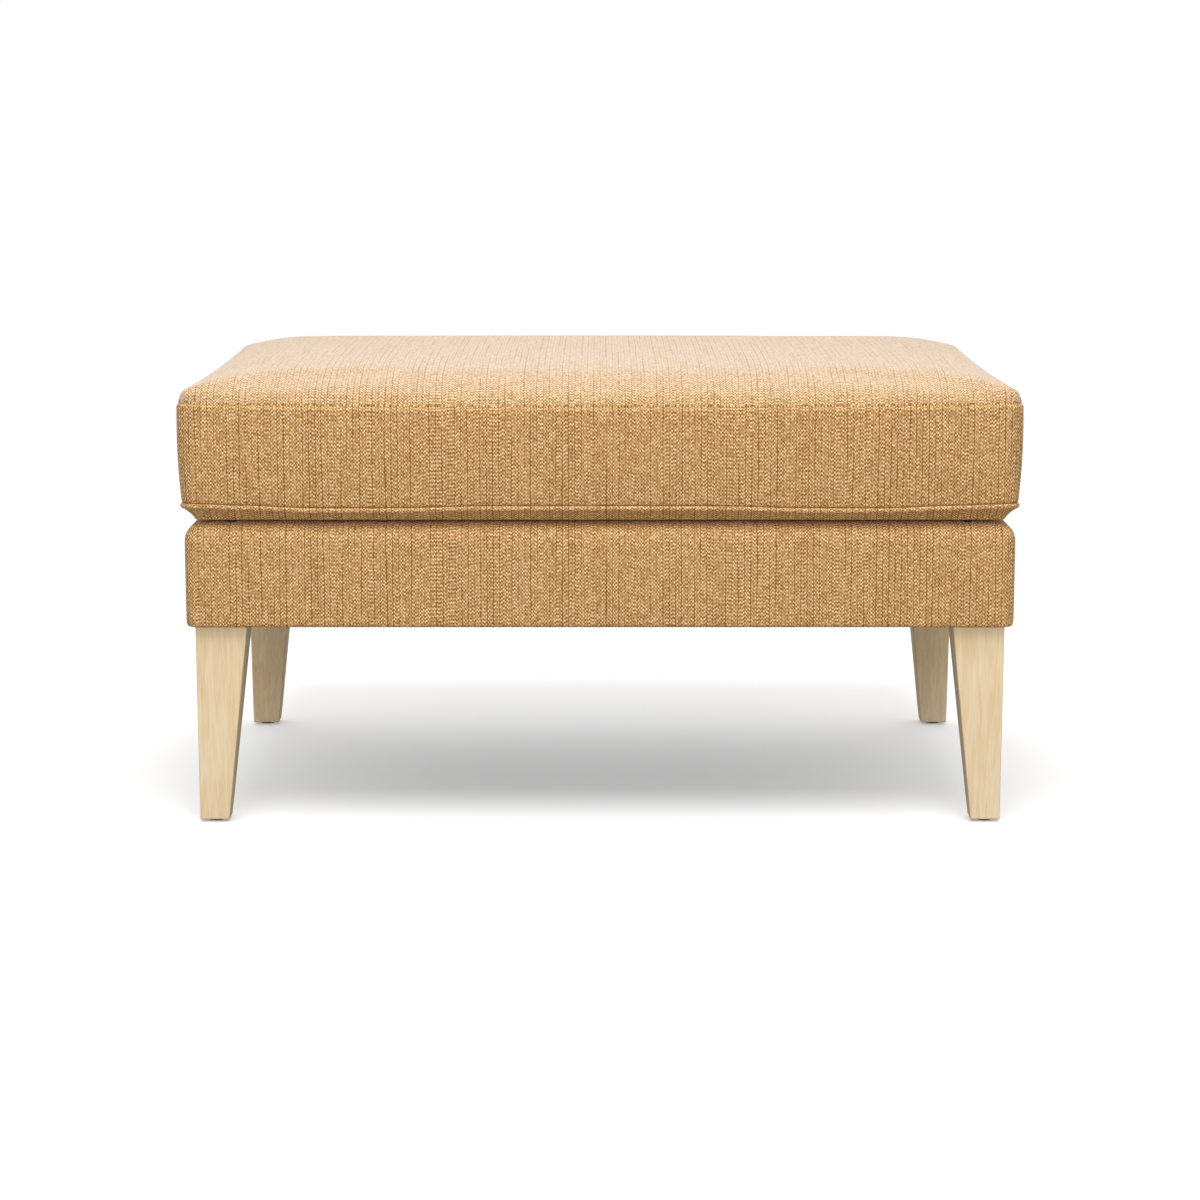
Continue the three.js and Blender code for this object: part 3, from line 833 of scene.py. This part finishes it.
def cloth_material(name, light, middle, dark, pitch, uv="cloth", sheen=0.3, rub=0.4, relief=0.3, **weave):
    mat, w, shader = new_material(
        name, Sheen_Weight=sheen, Sheen_Roughness=rub, Sheen_Tint=(1, 1, 1, 1), Specular_IOR_Level=0.2
    )
    position = w.node("ShaderNodeUVMap", uv_map=uv).outputs[0] if uv else w.object_place()
    out = use_group(
        w, "weave", position, Warp_Pitch=pitch[0] * MM, Weft_Pitch=pitch[1] * MM,
        Light=(*light, 1), Middle=(*middle, 1), Dark=(*dark, 1), **weave,
    )
    wire_shader(w, shader, out["Color"], out["Roughness"], out["Height"], 0.5, relief)
    return mat


def wood_material(name, light, dark, contrast, band_width, coat=0.0, turn=(0, 0, 0)):
    mat, w, shader = new_material(name, Coat_Weight=coat, Coat_Roughness=0.25, Specular_IOR_Level=0.4)
    turned = {"Vector": w.object_place(), "Rotation": [math.radians(a) for a in turn]}
    position = w.node("ShaderNodeMapping", turned).outputs[0]
    out = use_group(
        w, "wood", position, Band_Width=band_width, Contrast=contrast, Light=(*light, 1), Dark=(*dark, 1)
    )
    wire_shader(w, shader, out["Color"], out["Roughness"], out["Height"], 0.25, 0.15)
    return mat


def plain_material(name, base, worn, roughness, metallic=0.0, patch=0.03):
    mat, w, shader = new_material(name, Metallic=metallic)
    out = use_group(w, "surface", w.object_place(), Patch_Size=patch, Base=(*base, 1), Worn=(*worn, 1))
    rough = w.remap(out["Mask"], 0.0, 1.0, roughness, roughness * 0.8)
    wire_shader(w, shader, out["Color"], rough, out["Height"], 0.2, 0.05)
    return mat


WHEAT_LIGHT = (0.98, 0.74, 0.44)
WHEAT = (0.575, 0.325, 0.118)
# Paler than WHEAT: painted haze, the whitening the top panel shows where it is seen at a grazing angle
WHEAT_TOP_PAINTED_HAZE = (0.59, 0.365, 0.165)
WHEAT_DARK = (0.24, 0.10, 0.018)
WHEAT_YARN = dict(pitch=(1.7, 2.08), Streak=0.06, Slub_Length=0.07)
MATERIALS = {
    "upholstery_fabric": cloth_material(
        "wheat_slub_cloth", WHEAT_LIGHT, WHEAT, WHEAT_DARK, Fleck=1.25, Gap=1.15, sheen=0.1, **WHEAT_YARN
    ),
    # The top panel's copy of the same cloth, with a paler middle tone and more sheen than the sides: a
    # painted haze standing in for the light the top catches
    "top_panel_fabric": cloth_material(
        "wheat_slub_cloth_top_painted_haze", WHEAT_LIGHT, WHEAT_TOP_PAINTED_HAZE, WHEAT_DARK,
        Fleck=1.2, Gap=0.9, sheen=0.55, rub=0.6, **WHEAT_YARN,
    ),
    "lining_fabric": cloth_material(
        "plain_lining_cloth", (0.44, 0.39, 0.33), (0.30, 0.26, 0.215), (0.16, 0.135, 0.11),
        (0.7, 0.75), Fleck=0.5, Streak=0.25, Gap=0.15, Slub_Length=0.02, relief=0.12,
    ),
    "dust_fabric": cloth_material(
        "black_cambric", (0.06, 0.06, 0.062), (0.028, 0.028, 0.029), (0.01, 0.01, 0.01),
        (0.8, 0.9), uv=None, Fleck=0.6, Streak=0.4, Gap=0.2, Slub_Length=0.01, sheen=0.2, relief=0.08,
    ),
    "foam": plain_material("upholstery_foam", (0.78, 0.70, 0.50), (0.84, 0.77, 0.58), 0.95),
    "wadding": plain_material("polyester_wadding", (0.86, 0.85, 0.82), (0.9, 0.89, 0.87), 0.97),
    "leg_wood": wood_material(
        "natural_maple", (0.945, 0.79, 0.555), (0.79, 0.56, 0.28), 0.85, 0.01, coat=0.15
    ),
    "frame_wood": wood_material(
        "sawn_pine", (0.72, 0.52, 0.30), (0.5, 0.31, 0.14), 0.8, 0.01, turn=(0, 90, 0)
    ),
    "plywood": wood_material(
        "birch_plywood", (0.68, 0.5, 0.3), (0.5, 0.33, 0.17), 0.6, 0.02, turn=(0, 90, 0)
    ),
    "glide_plastic": plain_material("moulded_nylon", (0.12, 0.10, 0.085), (0.16, 0.14, 0.12), 0.5),
    "bumper_rubber": plain_material("black_rubber", (0.018, 0.018, 0.018), (0.03, 0.03, 0.03), 0.8),
    "hinge_steel": plain_material(
        "zinc_plated_steel", (0.55, 0.55, 0.56), (0.62, 0.61, 0.6), 0.32, metallic=1.0, patch=0.008
    ),
}

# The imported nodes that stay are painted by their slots.
SLOTS = {s["node"]: s["material_slot"] for s in frame["record"]["subparts"]}
for node, cad in frame["nodes"].items():
    for holder in cad.material_slots:
        holder.material = MATERIALS[SLOTS[node]]


# ---------------------------------------------------------------- stitches and staples
def row_tree():
    """Geometry Nodes: bent wires or threads set out along a path at an even pitch."""
    w, g, out = new_group(
        "fastener_row",
        [
            ("Geometry", "g", None), ("Pitch", "f", 0.04), ("Length", "f", 0.01), ("Radius", "f", 0.0005),
            ("Bend", "f", 0.002), ("Wander", "f", 0.1), ("Outward", "f", 0.0), ("Face", "v", (0, 0, -1)),
            ("Seed", "i", 7), ("Material", "m", None),
        ],
        [("Geometry", "g")],
        kind="Geometry",
    )
    curve = w.node("GeometryNodeMeshToCurve", {"Mesh": g["Geometry"]})
    pitch = {"Curve": curve.outputs[0], "Length": g["Pitch"]}
    points = w.node("GeometryNodeCurveToPoints", pitch, mode="LENGTH")
    tangent = points.outputs["Tangent"]
    sizes = {"Vertices": 6, "Side Segments": 4, "Radius": g["Radius"], "Depth": g["Length"]}
    wire = w.node("GeometryNodeMeshCylinder", sizes).outputs["Mesh"]
    lying = w.node("GeometryNodeTransform", {"Geometry": wire, "Rotation": (0, math.pi / 2, 0)}).outputs[0]

    # At the ends the share of the length is a half, whose fourth power is a sixteenth, so they drop by Bend.
    x = w.split(w.node("GeometryNodeInputPosition").outputs[0])[0]
    fourth = w.math("POWER", w.div(x, g["Length"]), 4.0)
    drop = w.mul(w.mul(fourth, g["Bend"]), -16.0)
    bent = w.node("GeometryNodeSetPosition", {"Geometry": lying, "Offset": w.vector(0.0, 0.0, drop)})

    # Each wire lies along the path and faces outwards or the way that Face says, give or take Wander.
    outward = w.math_vector("CROSS_PRODUCT", {0: tangent, 1: (0, 0, 1)})
    facing = w.math_vector("ADD", {0: w.math_vector("SCALE", {0: outward, 3: g["Outward"]}), 1: g["Face"]})
    align = "FunctionNodeAlignRotationToVector"
    along = w.node(align, {"Vector": tangent}, axis="X").outputs[0]
    turned = w.node(align, {"Rotation": along, "Vector": facing}, axis="Z", pivot_axis="X").outputs[0]
    angle = w.node("FunctionNodeRandomValue", {"Seed": g["Seed"]}, data_type="FLOAT")
    least, most = [i for i in angle.inputs if i.type == "VALUE"][:2]
    w.tree.links.new(w.mul(g["Wander"], -1.0), least)
    w.tree.links.new(g["Wander"], most)
    value = next(o for o in angle.outputs if o.type == "VALUE")
    spin = w.node("FunctionNodeAxisAngleToRotation", {"Axis": (0, 0, 1), "Angle": value}).outputs[0]
    final = w.node(
        "FunctionNodeRotateRotation", {"Rotation": turned, "Rotate By": spin}, rotation_space="LOCAL"
    )
    placed = w.node(
        "GeometryNodeInstanceOnPoints",
        {"Points": points.outputs["Points"], "Instance": bent.outputs[0], "Rotation": final.outputs[0]},
    )
    real = w.node("GeometryNodeRealizeInstances", {"Geometry": placed.outputs[0]})
    shown = w.node("GeometryNodeSetMaterial", {"Geometry": real.outputs[0], "Material": g["Material"]})
    w.put(out, 0, shown.outputs[0])
    return w.tree, {i.name: i.identifier for i in w.tree.interface.items_tree if i.in_out == "INPUT"}


ROW_TREE, ROW_INPUTS = row_tree()


def fastener_row(name, loops, slot, **sizes):
    """Threads or staples along closed or open runs of points, in millimetres, as one mesh."""
    verts, edges = [], []
    for loop, closed in loops:
        start = len(verts)
        verts += [(x * MM, y * MM, z * MM) for x, y, z in loop]
        edges += [(start + i, start + i + 1) for i in range(len(loop) - 1)]
        if closed:
            edges.append((start + len(loop) - 1, start))
    mesh = bpy.data.meshes.new(name)
    mesh.from_pydata(verts, edges, [])
    obj = link_object(name, mesh)
    mod = obj.modifiers.new("Row", "NODES")
    mod.node_group = ROW_TREE
    for label, value in sizes.items():
        mod[ROW_INPUTS[label]] = value
    mod[ROW_INPUTS["Material"]] = MATERIALS[slot]
    apply_modifiers(obj)
    return obj


def seam_loop(inset, lift, heights):
    ring = Outline(**CUSHION).ring(inset)
    return [(x, y, h + lift) for (x, y), h in zip(ring, heights)], True


top_seam, bottom_seam = cushion_seam_heights(Outline(**CUSHION))
cushion_stitches = fastener_row(
    "cushion_seam_stitches",
    [seam_loop(3.1, 0.0, top_seam), seam_loop(4.6, 4.9, bottom_seam)],
    "upholstery_fabric", Seed=3, Pitch=0.0034, Length=0.0027, Radius=0.00042,
    Bend=0.0005, Wander=0.06, Outward=1.0, Face=(0.0, 0.0, 0.0),
)


def rectangle(half_x, half_y, z, gap):
    """Four runs along the sides of a rectangle, each stopping a gap short of its corners."""
    x, y = half_x, half_y
    runs = [[(gap - x, -y), (x - gap, -y)], [(x, gap - y), (x, y - gap)]]
    runs += [[(x - gap, y), (gap - x, y)], [(-x, y - gap), (-x, gap - y)]]
    return [([(px, py, z) for px, py in run], False) for run in runs]


STAPLE = dict(Pitch=0.038, Length=0.0105, Radius=0.0005, Bend=0.0022, Wander=0.16, Face=(0.0, 0.0, -1.0))
lid_runs = rectangle(LID_LINING["half_x"] - 7, LID_LINING["half_y"] - 7, 333.2, 6)
lid_staples = fastener_row("lid_lining_staples", lid_runs, "hinge_steel", Seed=11, **STAPLE)
dust_runs = rectangle(DUST_COVER["half_x"] - 6, DUST_COVER["half_y"] - 6, 216.4, DUST_COVER["notch"])
dust_staples = fastener_row("dust_cover_staples", dust_runs, "hinge_steel", Seed=5, **STAPLE)
hem_ring = chamfered_ring(WELL["half_x"] - 2.35, WELL["half_y"] - 2.35, WELL["leg"] - 1.4)
hem_stitches = fastener_row(
    "well_hem_stitches", [([(x, y, WELL["top"] - 13.0) for x, y in hem_ring], True)],
    "lining_fabric", Seed=9, Pitch=0.0042, Length=0.0031, Radius=0.0003,
    Bend=0.0004, Wander=0.05, Outward=-1.0, Face=(0.0, 0.0, 0.0),
)


# ---------------------------------------------------------------- pieces on their bodies
def dress(obj, slot, body, *nodes, second=None):
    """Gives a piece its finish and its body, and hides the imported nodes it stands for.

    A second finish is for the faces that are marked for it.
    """
    indices = [p.material_index if second else 0 for p in obj.data.polygons]
    obj.data.materials.clear()
    for name in filter(None, (slot, second)):
        obj.data.materials.append(MATERIALS[name])
    obj.data.polygons.foreach_set("material_index", indices)
    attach(obj, body)
    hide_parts(*nodes)


CUSHION_NODES = ["cushion_" + part for part in ("top_panel", "boxing", "under_strip", "wadding", "foam")]
PADDING_NODES = ["base_padding_" + side for side in ("front", "rear", "left", "right")]
# The top panel's faces get the copy of the cloth with the painted haze
dress(cushion, "upholstery_fabric", "lid", *CUSHION_NODES, second="top_panel_fabric")
dress(base_cover, "upholstery_fabric", "base", "base_cover")
dress(rail_padding, "foam", "base", *PADDING_NODES)
dress(well_cloth, "lining_fabric", "base", "well_lining")
dress(lid_cloth, "lining_fabric", "lid", "lid_lining")
dress(dust_cloth, "dust_fabric", "base", "dust_cover")
for corner, leg in legs.items():
    dress(leg, "leg_wood", "base", "leg_" + corner)
for row in (cushion_stitches, lid_staples):
    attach(row, "lid")
for row in (dust_staples, hem_stitches):
    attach(row, "base")


# ---------------------------------------------------------------- floor, light and camera
# The floor lies just below the glides. It is one shade to the camera and a darker, warmer one to its bounce,
# and it glows white from GLOW[0] to GLOW[1] metres out.
FLOOR_HALF = 14
FLOOR_Z = -0.0004
FLOOR_SEEN = (0.86, 0.86, 0.86, 1)
FLOOR_BOUNCE = (0.29, 0.29 * 0.9, 0.29 * 0.78, 1)
FLOOR_LIFT = 0.27
GLOW = (0.95, 2.0)
WHITE = (1, 1, 1, 1)
# The world's light from the sides, and what it gains from above and from behind
WORLD_SIDE = 0.41
WORLD_TOP = 0.35
WORLD_BACK = 0.9
LIGHTS = {
    "high_key": dict(place=(0, -1.5, 2.9), aim=(0, 0, 0.3), size=(2.2, 1.5), power=50),
    "low_fill": dict(place=(0, -4.5, 1.0), aim=(0, 0, 0.25), size=(4.0, 1.4), power=54),
}
SENSOR = 36
LENS = 93.56
CAMERA_PLACE = (0, -3.635, 0.790)
CAMERA_DIP = 9.203


def make_floor():
    """A pale floor that shades under the object and turns plain white further out."""
    mesh = bpy.data.meshes.new("floor")
    corners = [(x * FLOOR_HALF, y * FLOOR_HALF, FLOOR_Z) for x, y in ((-1, -1), (1, -1), (1, 1), (-1, 1))]
    mesh.from_pydata(corners, [], [(0, 1, 2, 3)])
    floor = link_object("floor", mesh)
    mat, w, shader = new_material("white_floor", Roughness=1.0, Specular_IOR_Level=0.0, Emission_Color=WHITE)
    seen = w.node("ShaderNodeLightPath").outputs["Is Camera Ray"]
    w.put(shader, "Base Color", w.mix(seen, FLOOR_BOUNCE, FLOOR_SEEN))
    w.put(shader, "Emission Strength", w.mul(seen, FLOOR_LIFT))
    far = w.node("ShaderNodeVectorMath", {0: w.object_place()}, operation="LENGTH").outputs["Value"]
    glow = w.node("ShaderNodeEmission").outputs[0]
    blend = w.mix_shader(w.mul(w.remap(far, *GLOW), seen), shader.outputs[0], glow)
    w.put(w.tree.nodes["Material Output"], "Surface", blend)
    mesh.materials.append(mat)


def area_light(name, place, aim, size, power):
    data = bpy.data.lights.new(name, "AREA")
    data.shape = "RECTANGLE"
    data.size, data.size_y = size
    data.energy = power
    lamp = link_object(name, data)
    lamp.location = place
    lamp.rotation_euler = (Vector(aim) - Vector(place)).to_track_quat("-Z", "Y").to_euler()
    lamp.visible_camera = False


def set_world():
    """White behind everything, with a softer light that is stronger from above and behind."""
    world = bpy.data.worlds.new("studio")
    world.use_nodes = True
    w = Wires(world.node_tree)
    back = w.tree.nodes["Background"]
    _, y, z = w.split(w.node("ShaderNodeTexCoord").outputs["Generated"])
    above = w.mul(w.remap(z, 0.1, 0.9), WORLD_TOP)
    behind = w.mul(w.remap(y, 0.2, 0.9), WORLD_BACK)
    w.put(back, "Color", WHITE)
    w.put(back, "Strength", w.add(w.add(above, behind), WORLD_SIDE))
    plain = w.node("ShaderNodeBackground", {"Color": WHITE, "Strength": 1.0})
    seen = w.node("ShaderNodeLightPath").outputs["Is Camera Ray"]
    w.put(w.tree.nodes["World Output"], "Surface", w.mix_shader(seen, back.outputs[0], plain.outputs[0]))
    bpy.context.scene.world = world


def set_camera():
    data = bpy.data.cameras.new("camera")
    data.sensor_width = SENSOR
    data.lens = LENS
    camera = link_object("camera", data)
    camera.location = CAMERA_PLACE
    camera.rotation_euler = (math.radians(90 - CAMERA_DIP), 0, 0)
    bpy.context.scene.camera = camera


make_floor()
set_world()
for light, facts in LIGHTS.items():
    area_light(light, **facts)
set_camera()
bpy.context.scene.view_settings.view_transform = "Standard"
